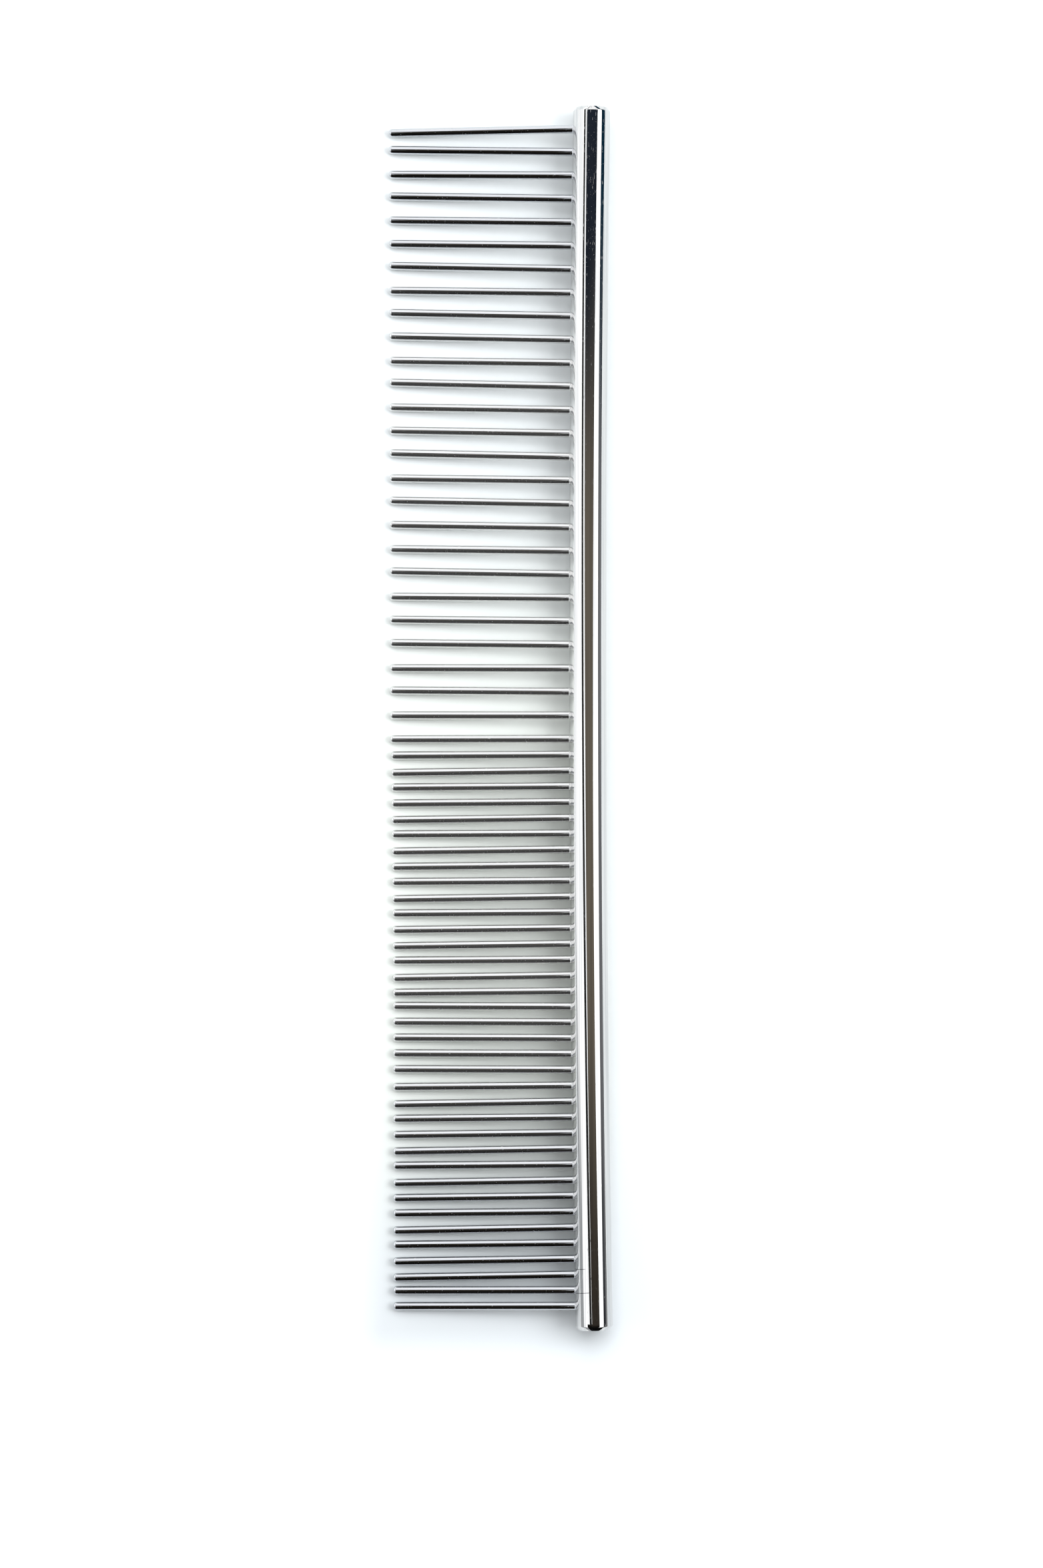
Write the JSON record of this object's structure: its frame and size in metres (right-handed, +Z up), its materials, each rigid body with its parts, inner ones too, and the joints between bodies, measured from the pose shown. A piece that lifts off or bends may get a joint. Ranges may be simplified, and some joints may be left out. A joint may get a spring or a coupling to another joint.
{
  "type": "pet grooming comb",
  "caption": "Steel pet grooming comb: round pins set along one side of a round rod spine, widely spaced over one half and closely spaced over the other.",
  "frame": {"origin": "on the table, under the middle of the comb's bounding box, with the comb lying on its spine and on the tips of its teeth", "axes": "+Z up from the table; +Y along the spine towards the widely spaced teeth; +X from the tips of the teeth towards the spine"},
  "size_m": [0.0345, 0.19, 0.0059],
  "materials": {
    "spine_steel": "mirror-polished plating with fine handling scratches",
    "tooth_steel": "mirror-polished plating with fine drawing marks along the pin"
  },
  "bodies": {
    "root": {"spine": "spine_steel", "coarse_tooth_01": "tooth_steel", "coarse_tooth_02": "tooth_steel", "coarse_tooth_03": "tooth_steel", "coarse_tooth_04": "tooth_steel", "coarse_tooth_05": "tooth_steel", "coarse_tooth_06": "tooth_steel", "coarse_tooth_07": "tooth_steel", "coarse_tooth_08": "tooth_steel", "coarse_tooth_09": "tooth_steel", "coarse_tooth_10": "tooth_steel", "coarse_tooth_11": "tooth_steel", "coarse_tooth_12": "tooth_steel", "coarse_tooth_13": "tooth_steel", "coarse_tooth_14": "tooth_steel", "coarse_tooth_15": "tooth_steel", "coarse_tooth_16": "tooth_steel", "coarse_tooth_17": "tooth_steel", "coarse_tooth_18": "tooth_steel", "coarse_tooth_19": "tooth_steel", "coarse_tooth_20": "tooth_steel", "coarse_tooth_21": "tooth_steel", "coarse_tooth_22": "tooth_steel", "coarse_tooth_23": "tooth_steel", "coarse_tooth_24": "tooth_steel", "coarse_tooth_25": "tooth_steel", "coarse_tooth_26": "tooth_steel", "coarse_tooth_27": "tooth_steel", "fine_tooth_pair_01": "tooth_steel", "fine_tooth_pair_02": "tooth_steel", "fine_tooth_pair_03": "tooth_steel", "fine_tooth_pair_04": "tooth_steel", "fine_tooth_pair_05": "tooth_steel", "fine_tooth_pair_06": "tooth_steel", "fine_tooth_pair_07": "tooth_steel", "fine_tooth_pair_08": "tooth_steel", "fine_tooth_pair_09": "tooth_steel", "fine_tooth_pair_10": "tooth_steel", "fine_tooth_pair_11": "tooth_steel", "fine_tooth_pair_12": "tooth_steel", "fine_tooth_pair_13": "tooth_steel", "fine_tooth_pair_14": "tooth_steel", "fine_tooth_pair_15": "tooth_steel", "fine_tooth_pair_16": "tooth_steel", "fine_tooth_pair_17": "tooth_steel", "fine_tooth_pair_18": "tooth_steel"}
  },
  "joints": []
}
